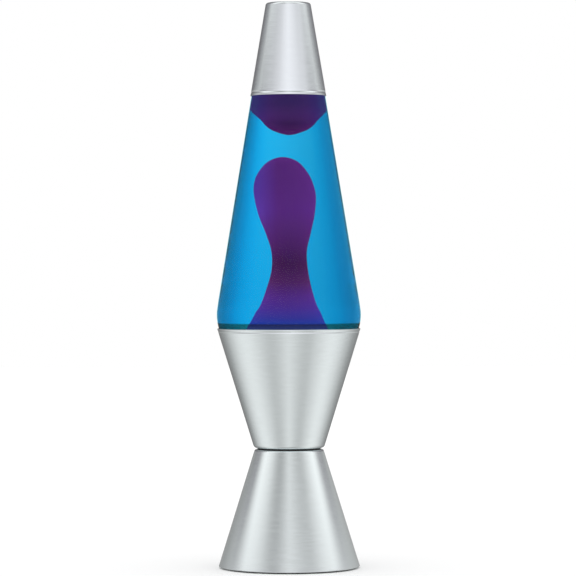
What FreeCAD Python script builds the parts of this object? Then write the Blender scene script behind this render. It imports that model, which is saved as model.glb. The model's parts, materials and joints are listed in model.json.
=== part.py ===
"""Lava lamp: an hourglass base of two spun aluminium cones, a sealed glass bottle and a loose conical cap.

All sizes are in millimetres. +Z is up, the origin is on the table under the middle of the lamp, and the
cord leaves at the back, towards +Y. Each function returns the shape of one sub-part, at rest.
"""

import FreeCAD, Part
import math
import os

from FreeCAD import Vector

UP = Vector(0, 0, 1)
ORIGIN = Vector(0, 0, 0)

# Overall
TOTAL_HEIGHT = 368.3
FIT_GAP = 0.05  # between a loose piece and its seat, and around screws
SHEET = 1.0  # spun aluminium of the two base cones
SHEET_EDGE = 0.4  # rounding of a trimmed edge, as a share of the sheet's thickness
QUARTER_TURN = 90.0
CUT_OVER = 1.0  # how far a cut runs past the face that it opens

# Lower cone, and the plate that closes it
RIM_Z = 1.0
LOWER_RIM_R = 46.05
WAIST_R = 22.4
LOWER_TOP_Z = 77.4
HEM_INNER_R = 43.4
LOWER_SHOULDER_ROUND = 1.6
HEM_ROUND = 0.4

# Waist
GASKET_THICKNESS = 0.8
GASKET_R = 20.6
GASKET_EDGE = 0.25
HOLDER_HOLE_R = 14.3

# Upper cone
UPPER_FLOOR_Z = LOWER_TOP_Z + GASKET_THICKNESS
UPPER_BOTTOM_R = 22.75
UPPER_BOTTOM_ROUND = 3.0
UPPER_RIM_Z = 156.2
UPPER_RIM_R = 46.8

# The shallow groove rolled beside each bright rim
GROOVE_DEPTH = 0.15
UPPER_GROOVE_WIDTH = 1.4
UPPER_GROOVE_BELOW_RIM = 1.9
CAP_GROOVE_WIDTH = 2.0
CAP_GROOVE_ABOVE_RIM = 2.3

# Bottle: a cone on a rounded heel, with a crown-cork neck
WALL = 2.4
HEEL_CENTRE_R = 16.0
HEEL_CENTRE_Z = 165.3
HEEL_END_ANGLE = -48.0  # where the heel meets the tighter foot curve, below the horizontal
FOOT_ROUND = 8.0
CONE_TAPER = 0.1640  # radius lost per unit of height
PUNT_RISE = 3.0
PUNT_R = 27.0
PUNT_EDGE_ROUND = 4.0
PUNT_TOP_ROUND = 8.0
SHOULDER_Z = 326.0
SHOULDER_ROUND = 8.0
NECK_R = 12.4
NECK_BASE_Z = 330.0
NECK_ROUND = 3.5
FINISH_Z = 341.0  # underside of the ring that the crown cork grips
FINISH_R = 13.2
MOUTH_Z = 347.5
MOUTH_R = 8.0
FINISH_ROUND = 0.8
LIP_ROUND = 1.6
LIP_HEIGHT = 3.0

# What the bottle holds
FILL_Z = 336.0
FLUID_GAP = 0.02
COLUMN_FOOT_R = 24.5
COLUMN_FOOT_SLOPE = (-0.3, 1.0)
COLUMN_SIDE = [(20.6, 157.8), (11.3, 179.5), (8.6, 200.0), (11.3, 218.0), (15.0, 241.0), (12.5, 255.5)]
COLUMN_TOP_Z = 266.4
FLOAT_BOTTOM_Z = 280.7
FLOAT_SIDE = [(9.8, 284.9), (16.9, 294.6), (20.4, 302.2), (19.4, 310.2), (15.4, 316.8), (9.0, 320.6)]
FLOAT_TOP_Z = 322.0
COIL_RING_R = 28.6
COIL_R = 2.4
COIL_Z = 145.2

# Cap
CAP_RIM_Z = 307.6
CAP_REST_Z = 322.0  # where its inside touches the bottle, whose cone is a little steeper
CAP_TAPER = 0.1688
CAP_SHEET = 0.5
CAP_TOP_ROUND = 1.8

# Crown cork
CORK_SHEET = 0.3
CORK_TOP_Z = 348.6
CORK_TOP_ROUND = 2.4
CORK_INNER_R = FINISH_R + 2 * FIT_GAP
CORK_CROWN_Z = 345.1  # above this the inside leans in over the bottle's lip
CORK_CROWN_R = 12.1
CORK_CROWN_ROUND = 0.8
CORK_SKIRT_R = 14.9
CORK_SKIRT_Z = 342.4
CORK_FLARE = 0.5
CORK_FLARE_HEIGHT = 1.5
CORK_FLUTES = 21
FLUTE_R = 1.1
FLUTE_CIRCLE_R = 15.45
LINER_R = 11.5

# Lampholder, clamped through the waist by its ring nut
HOLDER_TOP_Z = 83.5
HOLDER_BOTTOM_Z = 50.0
HOLDER_BOTTOM_R = 13.0
HOLDER_BOTTOM_ROUND = 1.0
HOLDER_BODY_R = 14.6
HOLDER_EDGE = 0.6
HOLDER_SKIRT_R = 14.0
HOLDER_FLANGE_R = 17.0
HOLDER_FLANGE_THICKNESS = 4.0
HOLDER_BORE_R = 9.0
HOLDER_FLOOR_Z = 60.0
RING_NUT_R = 18.0
RING_NUT_THICKNESS = 3.2
RING_NUT_EDGE = 0.8
RING_NUT_NOTCHES = 24
RING_NUT_NOTCH_R = 0.7
SCREW_SHELL_THICKNESS = 0.4
SCREW_SHELL_BOTTOM_Z = 61.5
SCREW_SHELL_TOP_Z = 82.5
SCREW_SHELL_LEDGE = 0.9  # width of its turned-in floor
SCREW_SHELL_ROUND = 0.6
TERMINAL_X = 7.0
TERMINAL_SIDE = 5.0
TERMINAL_BOTTOM_Z = 44.5
TERMINAL_DEPTH = 3.8  # how far the terminals are let into the holder
TERMINAL_SCREW_Z = TERMINAL_BOTTOM_Z + 3.0
TERMINAL_SCREW_R = 1.2
TERMINAL_SCREW_HEAD_R = 2.0
TERMINAL_SCREW_HEAD = 1.3
RIVET_R = 1.0
RIVET_HEAD_R = 1.6
RIVET_HEAD = 0.7
RIVET_HEAD_ROUND = 0.4
RIVET_PLACES = ((0.0, 5.4), (0.0, -7.0))  # through the centre contact, and through the screw shell's tab
CONTACT_THICKNESS = 0.4
CONTACT_WIDTH = 4.0
CONTACT_BENDS_Y = (7.2, 3.6, 1.2, -2.6, -3.4)  # its ends and bends, from the riveted end
CONTACT_TURN_DOWN = 0.8

# Bulb: S11 glass on an E17 screw cap
BULB_CONTACT_Z = 64.0
BULB_LENGTH = 58.7
BULB_R = 17.45
BULB_NECK_R = 7.6
BULB_GLASS = 0.6
BULB_CAP_R = 8.3
BULB_CAP_BOTTOM_Z = 67.4
BULB_CAP_TOP_Z = 83.0
BULB_PITCH = 2.822
BULB_CAP_RINGS = 4
BULB_RING_DEPTH = 0.45
BULB_RING_ROUND = 0.35
BULB_CAP_PLAIN = 1.0  # the plain stretch below the first ridge
BULB_NECK_Z = 80.5
BULB_NECK_TOP_Z = 85.0
BUTTON_R = 3.0
BUTTON_HEIGHT = 1.2
BUTTON_ROUND = 0.8
BUTTON_SHANK_R = 1.6
BUTTON_SHANK = 1.8
INSULATOR_TOP = 1.6  # above the cap's lower edge
INSULATOR_EDGE = 1.2
STEM_FLARE_GAP = 0.5
STEM_TUBE_R = 3.2
STEM_TUBE_Z = 84.5
STEM_PRESS_R = 2.4
STEM_PRESS_Z = 90.0
STEM_ROD_R = 0.7
STEM_ROD_Z = 91.0
STEM_TOP_Z = 99.5
SUPPORT_WIRE_R = 0.3
SUPPORT_WIRE_X = 2.9
FILAMENT_Z = 104.0
FILAMENT_R = 0.35
FILAMENT_SPAN = 11.8
FILAMENT_RISE = 2.0

# Base ring, base plate, feet and screws
RING_Z = 5.5
RING_INNER_R = 36.0
RING_SHEET = 1.2
RING_LEG_TOP_Z = 10.0
PLATE_Z = 1.4
PLATE_THICKNESS = 2.2
PLATE_TOP_Z = PLATE_Z + PLATE_THICKNESS
PLATE_R = 43.0
PLATE_EDGE = 0.6
SCREW_CIRCLE_R = 38.6
SCREW_R = 1.5
SCREW_CLEARANCE_R = 1.7
SCREW_POINT_R = 0.5
SCREW_POINT = 1.0
SCREW_HEAD_ROUND = 1.0
SCREW_HEAD_R = 2.7
SCREW_HEAD_HEIGHT = 1.9
SCREW_HEAD_SINK = 0.3  # the heads stand this far above the plate's underside
SCREW_TIP_Z = 10.6
CROSS_LONG = 2.8
CROSS_SHORT = 0.7
CROSS_DEPTH = 1.1
PAD_R = 4.3
PAD_RECESS_R = 3.1
FOOT_CIRCLE_R = 37.0
FOOT_R = 5.0
FOOT_EDGE = 0.6
FOOT_STEM_R = 1.8
FOOT_BARB_R = 2.5
FOOT_TOP_Z = 5.2
VENT_COUNT = 16
VENT_WIDTH = 2.4
VENT_INNER_R = 15.0
VENT_OUTER_R = 27.0

# Cord bush, in the back of the lower cone
BUSH_Z = 19.0
BUSH_BORE_R = 3.2
BUSH_NECK_R = 4.2
BUSH_FLANGE_R = 5.6
BUSH_FLANGE_THICKNESS = 1.7
BUSH_EDGE = 0.8
BUSH_SEAT_DEPTH = 0.4  # the curved wall needs this much more room between the flanges
BUSH_HOLE_REACH = 4.0  # the cut for the hole runs this far to each side of the wall

# Internal leads and their splice caps
LEAD_R = 1.1
LEAD_TOP_Z = TERMINAL_SCREW_Z - TERMINAL_SCREW_R - 0.1
LEAD_BEND = (7, 0, 26)
LEAD_END = (9, 20, 15)
LEAD_BEND_SHARE = 0.45  # of the shorter run, taken up by the bend
SPLICE_R = 3.6
SPLICE_LENGTH = 14.0
SPLICE_LIP = 1.2
SPLICE_STEP = 0.5
SPLICE_MOUTH_DEPTH = 4.2
SPLICE_LEAD_DEPTH = 3.7  # how far the lead reaches into the cap
SPLICE_END_ROUND = 1.4
SPLICE_EDGE = 0.3


# Drawing helpers


def round_corner(before, corner, after, radius):
    """Start, middle and end of the arc that rounds a corner between two straight lines."""
    back = (before - corner).normalize()
    onward = (after - corner).normalize()
    half_angle = back.getAngle(onward) / 2
    reach = radius / math.tan(half_angle)
    middle = corner + (back + onward).normalize() * (radius / math.sin(half_angle) - radius)
    return corner + back * reach, middle, corner + onward * reach


def rounded_wire(corners, closed):
    """A wire of straight lines and tangent arcs. corners is a list of (point, corner radius)."""
    count = len(corners)
    pieces = []
    for i, (point, radius) in enumerate(corners):
        is_end = not closed and i in (0, count - 1)
        if radius == 0 or is_end:
            pieces.append((point, None, point))
        else:
            before = corners[i - 1][0]
            after = corners[(i + 1) % count][0]
            pieces.append(round_corner(before, point, after, radius))
    edges = []
    for i, (start, middle, end) in enumerate(pieces):
        if middle is not None:
            edges.append(Part.Arc(start, middle, end).toShape())
        if closed or i < count - 1:
            next_start = pieces[(i + 1) % count][0]
            if end.distanceToPoint(next_start) > 1e-6:
                edges.append(Part.LineSegment(end, next_start).toShape())
    return Part.Wire(edges)


def turned(outline):
    """A solid turned about Z from a closed list of (radius, height) or (radius, height, corner round)."""
    corners = []
    for point in outline:
        corner_round = point[2] if len(point) > 2 else 0
        corners.append((Vector(point[0], 0, point[1]), corner_round))
    return Part.Face(rounded_wire(corners, True)).revolve(ORIGIN, UP, 360)


def turned_curve(points, first_run, last_run, closing):
    """A solid turned about Z from a smooth curve, which leaves and ends along the given directions.

    Straight lines through the points of closing join its end to its start.
    """
    curve = Part.BSplineCurve()
    curve.interpolate(
        Points=[Vector(r, 0, z) for r, z in points],
        InitialTangent=Vector(first_run[0], 0, first_run[1]).normalize(),
        FinalTangent=Vector(last_run[0], 0, last_run[1]).normalize(),
        Scale=False,
    )
    path = [points[-1], *closing, points[0]]
    edges = [curve.toShape()]
    for (r_1, z_1), (r_2, z_2) in zip(path, path[1:]):
        edges.append(Part.LineSegment(Vector(r_1, 0, z_1), Vector(r_2, 0, z_2)).toShape())
    return Part.Face(Part.Wire(edges)).revolve(ORIGIN, UP, 360)


def cylinder(radius, bottom, top, x=0.0, y=0.0):
    return Part.makeCylinder(radius, top - bottom, Vector(x, y, bottom), UP)


def around(shape, count, first_angle=0.0):
    """Copies of a shape, evenly spaced about the Z axis."""
    copies = []
    for i in range(count):
        copy = shape.copy()
        copy.rotate(ORIGIN, UP, first_angle + 360 * i / count)
        copies.append(copy)
    return copies


def tangent_corner(centre, radius, angle_1, angle_2):
    """The corner where two tangents of a circle meet, at the given angles, in degrees."""
    middle = math.radians((angle_1 + angle_2) / 2)
    reach = radius / math.cos(math.radians(angle_1 - angle_2) / 2)
    return centre[0] + reach * math.cos(middle), centre[1] + reach * math.sin(middle)


# Slopes and radii that several pieces share

LOWER_TAPER = (LOWER_RIM_R - WAIST_R) / (LOWER_TOP_Z - RIM_Z)
UPPER_TAPER = (UPPER_RIM_R - UPPER_BOTTOM_R) / (UPPER_RIM_Z - UPPER_FLOOR_Z)
BODY_ANGLE = math.degrees(math.atan(CONE_TAPER))


def level_thickness(thickness, taper):
    """The horizontal thickness of a conical wall."""
    return thickness * math.hypot(1, taper)


LOWER_WALL = level_thickness(SHEET, LOWER_TAPER)
UPPER_WALL = level_thickness(SHEET, UPPER_TAPER)


def lower_outer(z):
    return LOWER_RIM_R - LOWER_TAPER * (z - RIM_Z)


def upper_outer(z):
    return UPPER_BOTTOM_R + UPPER_TAPER * (z - UPPER_FLOOR_Z)


def heel_radius():
    """The heel curve that lies just inside the upper cone, tangent to its wall."""
    across = (UPPER_RIM_R - UPPER_WALL) - HEEL_CENTRE_R
    down = HEEL_CENTRE_Z - UPPER_RIM_Z
    return (across + UPPER_TAPER * down) / math.hypot(1, UPPER_TAPER) - FIT_GAP


HEEL_R = heel_radius()


def bottle_outer(z):
    """Outer radius of the bottle's conical body."""
    tangent_r = HEEL_CENTRE_R + HEEL_R * math.cos(math.radians(BODY_ANGLE))
    tangent_z = HEEL_CENTRE_Z + HEEL_R * math.sin(math.radians(BODY_ANGLE))
    return tangent_r - CONE_TAPER * (z - tangent_z)


BODY_WALL = level_thickness(WALL, CONE_TAPER)
CAP_WALL = level_thickness(CAP_SHEET, CAP_TAPER)


def foot_centre():
    """Centre of the tight curve between the heel and the bottle's bottom."""
    reach = HEEL_R - FOOT_ROUND
    angle = math.radians(HEEL_END_ANGLE)
    return HEEL_CENTRE_R + reach * math.cos(angle), HEEL_CENTRE_Z + reach * math.sin(angle)


def heel_corners(inset):
    """Corners from the heel to the middle of the floor, of the outside or, inset by the wall, the inside."""
    heel = tangent_corner((HEEL_CENTRE_R, HEEL_CENTRE_Z), HEEL_R - inset, BODY_ANGLE, HEEL_END_ANGLE)
    foot = tangent_corner(foot_centre(), FOOT_ROUND - inset, HEEL_END_ANGLE, -90)
    bottom_z = foot_centre()[1] - FOOT_ROUND + inset
    return [
        (*heel, HEEL_R - inset),
        (*foot, FOOT_ROUND - inset),
        (PUNT_R, bottom_z, PUNT_EDGE_ROUND),
        (PUNT_R / 3, bottom_z + PUNT_RISE, PUNT_TOP_ROUND),
        (0, bottom_z + PUNT_RISE),
    ]


def inside_corners(gap):
    """Corners of the bottle's inside, from under its mouth to the middle of its floor, less a gap."""
    shoulder_r = bottle_outer(SHOULDER_Z) - BODY_WALL - gap
    return [
        (MOUTH_R - gap, NECK_BASE_Z - WALL / 2, NECK_ROUND + WALL),
        (shoulder_r, SHOULDER_Z - WALL / 2, SHOULDER_ROUND - WALL),
        *heel_corners(WALL + gap),
    ]


# Base


def placed_on_cone(shape):
    """Move a shape that is drawn about Z to the bush's place, square to the back of the lower cone."""
    tilt = math.degrees(math.atan(LOWER_TAPER))
    turn = FreeCAD.Rotation(Vector(1, 0, 0), tilt - QUARTER_TURN)
    shape.Placement = FreeCAD.Placement(Vector(0, lower_outer(BUSH_Z), BUSH_Z), turn)
    return shape


def lower_cone():
    """The foot: a spun cone with a hem at the table, a hole for the holder and one for the cord's bush."""
    hem_top = RIM_Z + SHEET
    outline = [
        (LOWER_RIM_R, RIM_Z, HEM_ROUND),
        (WAIST_R, LOWER_TOP_Z, LOWER_SHOULDER_ROUND),
        (HOLDER_HOLE_R, LOWER_TOP_Z),
        (HOLDER_HOLE_R, LOWER_TOP_Z - SHEET),
        (lower_outer(LOWER_TOP_Z - SHEET) - LOWER_WALL, LOWER_TOP_Z - SHEET, LOWER_SHOULDER_ROUND / 2),
        (lower_outer(hem_top) - LOWER_WALL, hem_top, HEM_ROUND),
        (HEM_INNER_R, hem_top, HEM_ROUND),
        (HEM_INNER_R, RIM_Z, HEM_ROUND),
    ]
    hole = placed_on_cone(cylinder(BUSH_NECK_R, -BUSH_HOLE_REACH, BUSH_HOLE_REACH))
    return turned(outline).cut(hole)


def rolled_groove(r, z, taper, width):
    """A ring that cuts a shallow groove of round section into a conical wall, square to it at (r, z)."""
    ring_r = (width**2 / 4 + GROOVE_DEPTH**2) / (2 * GROOVE_DEPTH)
    reach = (ring_r - GROOVE_DEPTH) / math.hypot(1, taper)
    return Part.makeTorus(r + reach, ring_r, Vector(0, 0, z - taper * reach), UP)


def upper_cone():
    """The cup that the bottle stands in: a spun cone with a flat floor that the holder's nut clamps."""
    floor_top = UPPER_FLOOR_Z + SHEET
    edge = SHEET_EDGE * SHEET
    outline = [
        (HOLDER_HOLE_R, UPPER_FLOOR_Z),
        (UPPER_BOTTOM_R, UPPER_FLOOR_Z, UPPER_BOTTOM_ROUND),
        (UPPER_RIM_R, UPPER_RIM_Z, edge),
        (UPPER_RIM_R - UPPER_WALL, UPPER_RIM_Z, edge),
        (upper_outer(floor_top) - UPPER_WALL, floor_top, UPPER_BOTTOM_ROUND - SHEET),
        (HOLDER_HOLE_R, floor_top),
    ]
    groove_z = UPPER_RIM_Z - UPPER_GROOVE_BELOW_RIM
    groove = rolled_groove(upper_outer(groove_z), groove_z, UPPER_TAPER, UPPER_GROOVE_WIDTH)
    return turned(outline).cut(groove)


def waist_gasket():
    """A fibre washer that lies between the two cones."""
    return turned(
        [
            (HOLDER_HOLE_R, LOWER_TOP_Z),
            (GASKET_R, LOWER_TOP_Z, GASKET_EDGE),
            (GASKET_R, UPPER_FLOOR_Z, GASKET_EDGE),
            (HOLDER_HOLE_R, UPPER_FLOOR_Z),
        ]
    )


def base_ring():
    """A stamped ring with an upright leg that is spot-welded inside the lower cone."""
    leg_r = lower_outer(RING_LEG_TOP_Z) - LOWER_WALL
    foot_r = lower_outer(RING_Z) - LOWER_WALL
    bend_z = RING_Z + RING_SHEET
    bend_r = lower_outer(bend_z) - LOWER_WALL - RING_SHEET
    ring = turned(
        [
            (RING_INNER_R, RING_Z),
            (foot_r, RING_Z, RING_SHEET),
            (leg_r, RING_LEG_TOP_Z),
            (leg_r - RING_SHEET, RING_LEG_TOP_Z),
            (bend_r, bend_z, RING_SHEET / 2),
            (RING_INNER_R, bend_z),
        ]
    )
    hole = cylinder(SCREW_R + FIT_GAP, RING_Z - CUT_OVER, bend_z + CUT_OVER, x=SCREW_CIRCLE_R)
    return ring.cut(Part.Compound(around(hole, 4)))


def vent_slot():
    """The cut for one round-ended vent, which points away from the plate's centre."""
    length = VENT_OUTER_R - VENT_INNER_R
    top = PLATE_TOP_Z + CUT_OVER
    bar = Part.makeBox(length, VENT_WIDTH, top, Vector(VENT_INNER_R, -VENT_WIDTH / 2, 0))
    ends = [cylinder(VENT_WIDTH / 2, 0, top, x=r) for r in (VENT_INNER_R, VENT_OUTER_R)]
    return bar.fuse(ends).removeSplitter()


def screw_seat_z():
    """Height of the seats that the screw heads pull up against."""
    return PLATE_Z + SCREW_HEAD_SINK + SCREW_HEAD_HEIGHT


def base_plate():
    """A vented disc with a pad over each screw, recessed below for the screw's head."""
    disc = turned(
        [
            (0, PLATE_Z),
            (PLATE_R, PLATE_Z, PLATE_EDGE),
            (PLATE_R, PLATE_TOP_Z, PLATE_EDGE),
            (0, PLATE_TOP_Z),
        ]
    )
    pads = around(cylinder(PAD_R, PLATE_Z + PLATE_THICKNESS / 2, RING_Z, x=SCREW_CIRCLE_R), 4)
    cuts = around(cylinder(PAD_RECESS_R, 0, screw_seat_z(), x=SCREW_CIRCLE_R), 4)
    cuts += around(cylinder(SCREW_CLEARANCE_R, 0, RING_Z + CUT_OVER, x=SCREW_CIRCLE_R), 4)
    cuts += around(cylinder(FOOT_STEM_R + FIT_GAP, 0, RING_Z, x=FOOT_CIRCLE_R), 4, QUARTER_TURN / 2)
    cuts += around(vent_slot(), VENT_COUNT)
    return disc.fuse(pads).cut(Part.Compound(cuts)).removeSplitter()


def plate_screws():
    """Four pan-head cross-recess screws, up through the plate's pads into the base ring."""
    head_top = screw_seat_z()
    head_bottom = head_top - SCREW_HEAD_HEIGHT
    screw = turned(
        [
            (0, head_bottom),
            (SCREW_HEAD_R, head_bottom, SCREW_HEAD_ROUND),
            (SCREW_HEAD_R, head_top),
            (SCREW_R, head_top),
            (SCREW_R, SCREW_TIP_Z - SCREW_POINT),
            (SCREW_POINT_R, SCREW_TIP_Z),
            (0, SCREW_TIP_Z),
        ]
    )
    for across, along in ((CROSS_SHORT, CROSS_LONG), (CROSS_LONG, CROSS_SHORT)):
        corner = Vector(-across / 2, -along / 2, head_bottom)
        screw = screw.cut(Part.makeBox(across, along, CROSS_DEPTH, corner))
    screw.translate(Vector(SCREW_CIRCLE_R, 0, 0))
    return Part.Compound(around(screw, 4))


def rubber_foot(index):
    """A push-in foot: a pad below the plate, a stem through it and a barb above it."""
    foot = turned(
        [
            (0, 0),
            (FOOT_R, 0, FOOT_EDGE),
            (FOOT_R, PLATE_Z),
            (FOOT_STEM_R, PLATE_Z),
            (FOOT_STEM_R, PLATE_TOP_Z),
            (FOOT_BARB_R, PLATE_TOP_Z, FOOT_EDGE / 2),
            (FOOT_STEM_R / 2, FOOT_TOP_Z),
            (0, FOOT_TOP_Z),
        ]
    )
    foot.translate(Vector(FOOT_CIRCLE_R, 0, 0))
    foot.rotate(ORIGIN, UP, QUARTER_TURN * (index + 0.5))
    return foot


def cord_bush():
    """The rubber bush that the cord passes through. The cone's wall lies in the groove round it."""
    inner_end = -SHEET - BUSH_SEAT_DEPTH - BUSH_FLANGE_THICKNESS
    bush = turned(
        [
            (BUSH_BORE_R, inner_end, BUSH_EDGE / 2),
            (BUSH_FLANGE_R, inner_end, BUSH_EDGE / 2),
            (BUSH_FLANGE_R, BUSH_FLANGE_THICKNESS, BUSH_EDGE),
            (BUSH_BORE_R, BUSH_FLANGE_THICKNESS, BUSH_EDGE / 2),
        ]
    )
    return placed_on_cone(bush).cut(lower_cone())


# Lampholder


def rivet_hole(place):
    """The cut for a rivet's shank, right through the holder's floor and what is riveted to it."""
    top = HOLDER_FLOOR_Z + CONTACT_THICKNESS + CUT_OVER
    return cylinder(RIVET_R + FIT_GAP, HOLDER_BOTTOM_Z - CUT_OVER, top, x=place[0], y=place[1])


def lampholder_body():
    """The phenolic holder: a skirt through the waist, a flange under it and a tapered body below."""
    flange_top = LOWER_TOP_Z - SHEET
    flange_bottom = flange_top - HOLDER_FLANGE_THICKNESS
    body = turned(
        [
            (0, HOLDER_BOTTOM_Z),
            (HOLDER_BOTTOM_R, HOLDER_BOTTOM_Z, HOLDER_BOTTOM_ROUND),
            (HOLDER_BODY_R, flange_bottom),
            (HOLDER_FLANGE_R, flange_bottom, HOLDER_EDGE),
            (HOLDER_FLANGE_R, flange_top),
            (HOLDER_SKIRT_R, flange_top),
            (HOLDER_SKIRT_R, HOLDER_TOP_Z, HOLDER_EDGE),
            (HOLDER_BORE_R + FIT_GAP, HOLDER_TOP_Z, HOLDER_EDGE),
            (HOLDER_BORE_R + FIT_GAP, HOLDER_FLOOR_Z),
            (0, HOLDER_FLOOR_Z),
        ]
    )
    pockets = [terminal_block(side, FIT_GAP) for side in (-1, 1)]
    rivet_holes = [rivet_hole(place) for place in RIVET_PLACES]
    return body.cut(Part.Compound(pockets + rivet_holes))


def lampholder_screw_shell():
    """The holder's threaded shell, drawn plain, with a turned-in floor around the centre contact."""
    inner = HOLDER_BORE_R - SCREW_SHELL_THICKNESS
    floor_top = SCREW_SHELL_BOTTOM_Z + SCREW_SHELL_THICKNESS
    return turned(
        [
            (inner - SCREW_SHELL_LEDGE, SCREW_SHELL_BOTTOM_Z),
            (HOLDER_BORE_R, SCREW_SHELL_BOTTOM_Z, SCREW_SHELL_ROUND),
            (HOLDER_BORE_R, SCREW_SHELL_TOP_Z),
            (inner, SCREW_SHELL_TOP_Z),
            (inner, floor_top, SCREW_SHELL_ROUND - SCREW_SHELL_THICKNESS),
            (inner - SCREW_SHELL_LEDGE, floor_top),
        ]
    )


def lampholder_centre_contact():
    """A sprung brass leaf, riveted to the holder's floor, that presses up under the bulb."""
    tip_z = BULB_CONTACT_Z - FIT_GAP - CONTACT_THICKNESS
    riveted_end, foot, top_start, top_end, free_end = CONTACT_BENDS_Y
    line = [
        (riveted_end, HOLDER_FLOOR_Z),
        (foot, HOLDER_FLOOR_Z),
        (top_start, tip_z),
        (top_end, tip_z),
        (free_end, tip_z - CONTACT_TURN_DOWN),
    ]
    top = [(y, z + CONTACT_THICKNESS) for y, z in reversed(line)]
    corners = [Vector(-CONTACT_WIDTH / 2, y, z) for y, z in line + top]
    leaf = Part.Face(Part.makePolygon(corners + corners[:1])).extrude(Vector(CONTACT_WIDTH, 0, 0))
    return leaf.cut(rivet_hole(RIVET_PLACES[0]))


def lampholder_rivets():
    """Two rivets through the holder's floor: one holds the centre contact, one the screw shell's tab."""
    rivets = []
    for (x, y), grip in zip(RIVET_PLACES, (CONTACT_THICKNESS, 0)):
        seat = HOLDER_FLOOR_Z + grip
        rivet = turned(
            [
                (0, HOLDER_BOTTOM_Z - RIVET_HEAD),
                (RIVET_HEAD_R, HOLDER_BOTTOM_Z - RIVET_HEAD, RIVET_HEAD_ROUND),
                (RIVET_HEAD_R, HOLDER_BOTTOM_Z),
                (RIVET_R, HOLDER_BOTTOM_Z),
                (RIVET_R, seat),
                (RIVET_HEAD_R, seat),
                (RIVET_HEAD_R, seat + RIVET_HEAD, RIVET_HEAD_ROUND),
                (0, seat + RIVET_HEAD),
            ]
        )
        rivet.translate(Vector(x, y, 0))
        rivets.append(rivet)
    return Part.Compound(rivets)


def terminal_block(side, gap):
    """A terminal's outer block, or with a gap the pocket that it is let into."""
    width = TERMINAL_SIDE + 2 * gap
    height = HOLDER_BOTTOM_Z + TERMINAL_DEPTH + gap - TERMINAL_BOTTOM_Z
    corner = Vector(side * TERMINAL_X - width / 2, -width / 2, TERMINAL_BOTTOM_Z)
    return Part.makeBox(width, width, height, corner)


def lampholder_terminals():
    """Two brass clamp terminals under the holder, one for each lead."""
    posts = []
    for side in (-1, 1):
        centre = Vector(side * TERMINAL_X, 0, TERMINAL_SCREW_Z)
        screw_hole = Part.makeCylinder(TERMINAL_SCREW_R + FIT_GAP, TERMINAL_SIDE, centre, Vector(side, 0, 0))
        lead_hole = cylinder(LEAD_R + FIT_GAP, TERMINAL_BOTTOM_Z, LEAD_TOP_Z + FIT_GAP, x=side * TERMINAL_X)
        posts.append(terminal_block(side, 0).cut(Part.Compound([screw_hole, lead_hole])))
    return Part.Compound(posts)


def terminal_screws():
    """The two slotted screws that clamp the leads."""
    shank_start = Vector(TERMINAL_X, 0, TERMINAL_SCREW_Z)
    face = Vector(TERMINAL_X + TERMINAL_SIDE / 2, 0, TERMINAL_SCREW_Z)
    outward = Vector(1, 0, 0)
    shank = Part.makeCylinder(TERMINAL_SCREW_R, TERMINAL_SIDE / 2, shank_start, outward)
    head = Part.makeCylinder(TERMINAL_SCREW_HEAD_R, TERMINAL_SCREW_HEAD, face, outward)
    slot_depth = TERMINAL_SCREW_HEAD / 2
    slot_length = 2 * TERMINAL_SCREW_HEAD_R + CUT_OVER
    slot_corner = face + Vector(TERMINAL_SCREW_HEAD - slot_depth, -slot_depth / 2, -slot_length / 2)
    slot = Part.makeBox(slot_depth, slot_depth, slot_length, slot_corner)
    return Part.Compound(around(shank.fuse(head).cut(slot).removeSplitter(), 2))


def lampholder_ring_nut():
    """The notched ring that screws down the holder's skirt and clamps both cones to the gasket."""
    seat = UPPER_FLOOR_Z + SHEET
    top = seat + RING_NUT_THICKNESS
    ring = turned(
        [
            (HOLDER_SKIRT_R + FIT_GAP, seat),
            (RING_NUT_R, seat, RING_NUT_EDGE / 2),
            (RING_NUT_R, top, RING_NUT_EDGE),
            (HOLDER_SKIRT_R + FIT_GAP, top, RING_NUT_EDGE / 2),
        ]
    )
    notch = cylinder(RING_NUT_NOTCH_R, seat - CUT_OVER, top + CUT_OVER, x=RING_NUT_R)
    return ring.cut(Part.Compound(around(notch, RING_NUT_NOTCHES)))


# Leads


def lead_points(side):
    """The start, bend and end of a lead's route, on the right (1) or the left (-1)."""
    route = [(TERMINAL_X, 0, LEAD_TOP_Z), LEAD_BEND, LEAD_END]
    return [Vector(side * x, y, z) for x, y, z in route]


def lead_bend_radius():
    """As large as the shorter of the two runs allows."""
    start, bend, end = lead_points(1)
    shorter = min(start.distanceToPoint(bend), bend.distanceToPoint(end))
    turn = (bend - start).getAngle(end - bend)
    return LEAD_BEND_SHARE * shorter / math.tan(turn / 2)


def lead(side):
    """One insulated lead, from its terminal down and back to its splice cap."""
    start, bend, end = lead_points(side)
    path = rounded_wire([(start, 0), (bend, lead_bend_radius()), (end, 0)], False)
    section = Part.Wire(Part.makeCircle(LEAD_R, start, bend - start))
    return path.makePipeShell([section], True, False)


def splice_cap(side):
    """A closed-end crimp cap over the end of a lead, where the cord's core joins it."""
    _, bend, end = lead_points(side)
    cap = turned(
        [
            (LEAD_R + FIT_GAP, 0),
            (SPLICE_R, 0, SPLICE_EDGE),
            (SPLICE_R, SPLICE_LIP, SPLICE_EDGE),
            (SPLICE_R - SPLICE_STEP, SPLICE_LIP + SPLICE_STEP),
            (SPLICE_R - 2 * SPLICE_STEP, SPLICE_LENGTH, SPLICE_END_ROUND),
            (0, SPLICE_LENGTH),
            (0, SPLICE_MOUTH_DEPTH),
            (LEAD_R + FIT_GAP, SPLICE_MOUTH_DEPTH),
        ]
    )
    direction = (end - bend).normalize()
    mouth = end - direction * SPLICE_LEAD_DEPTH
    cap.Placement = FreeCAD.Placement(mouth, FreeCAD.Rotation(UP, direction))
    return cap


# Bulb


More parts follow.
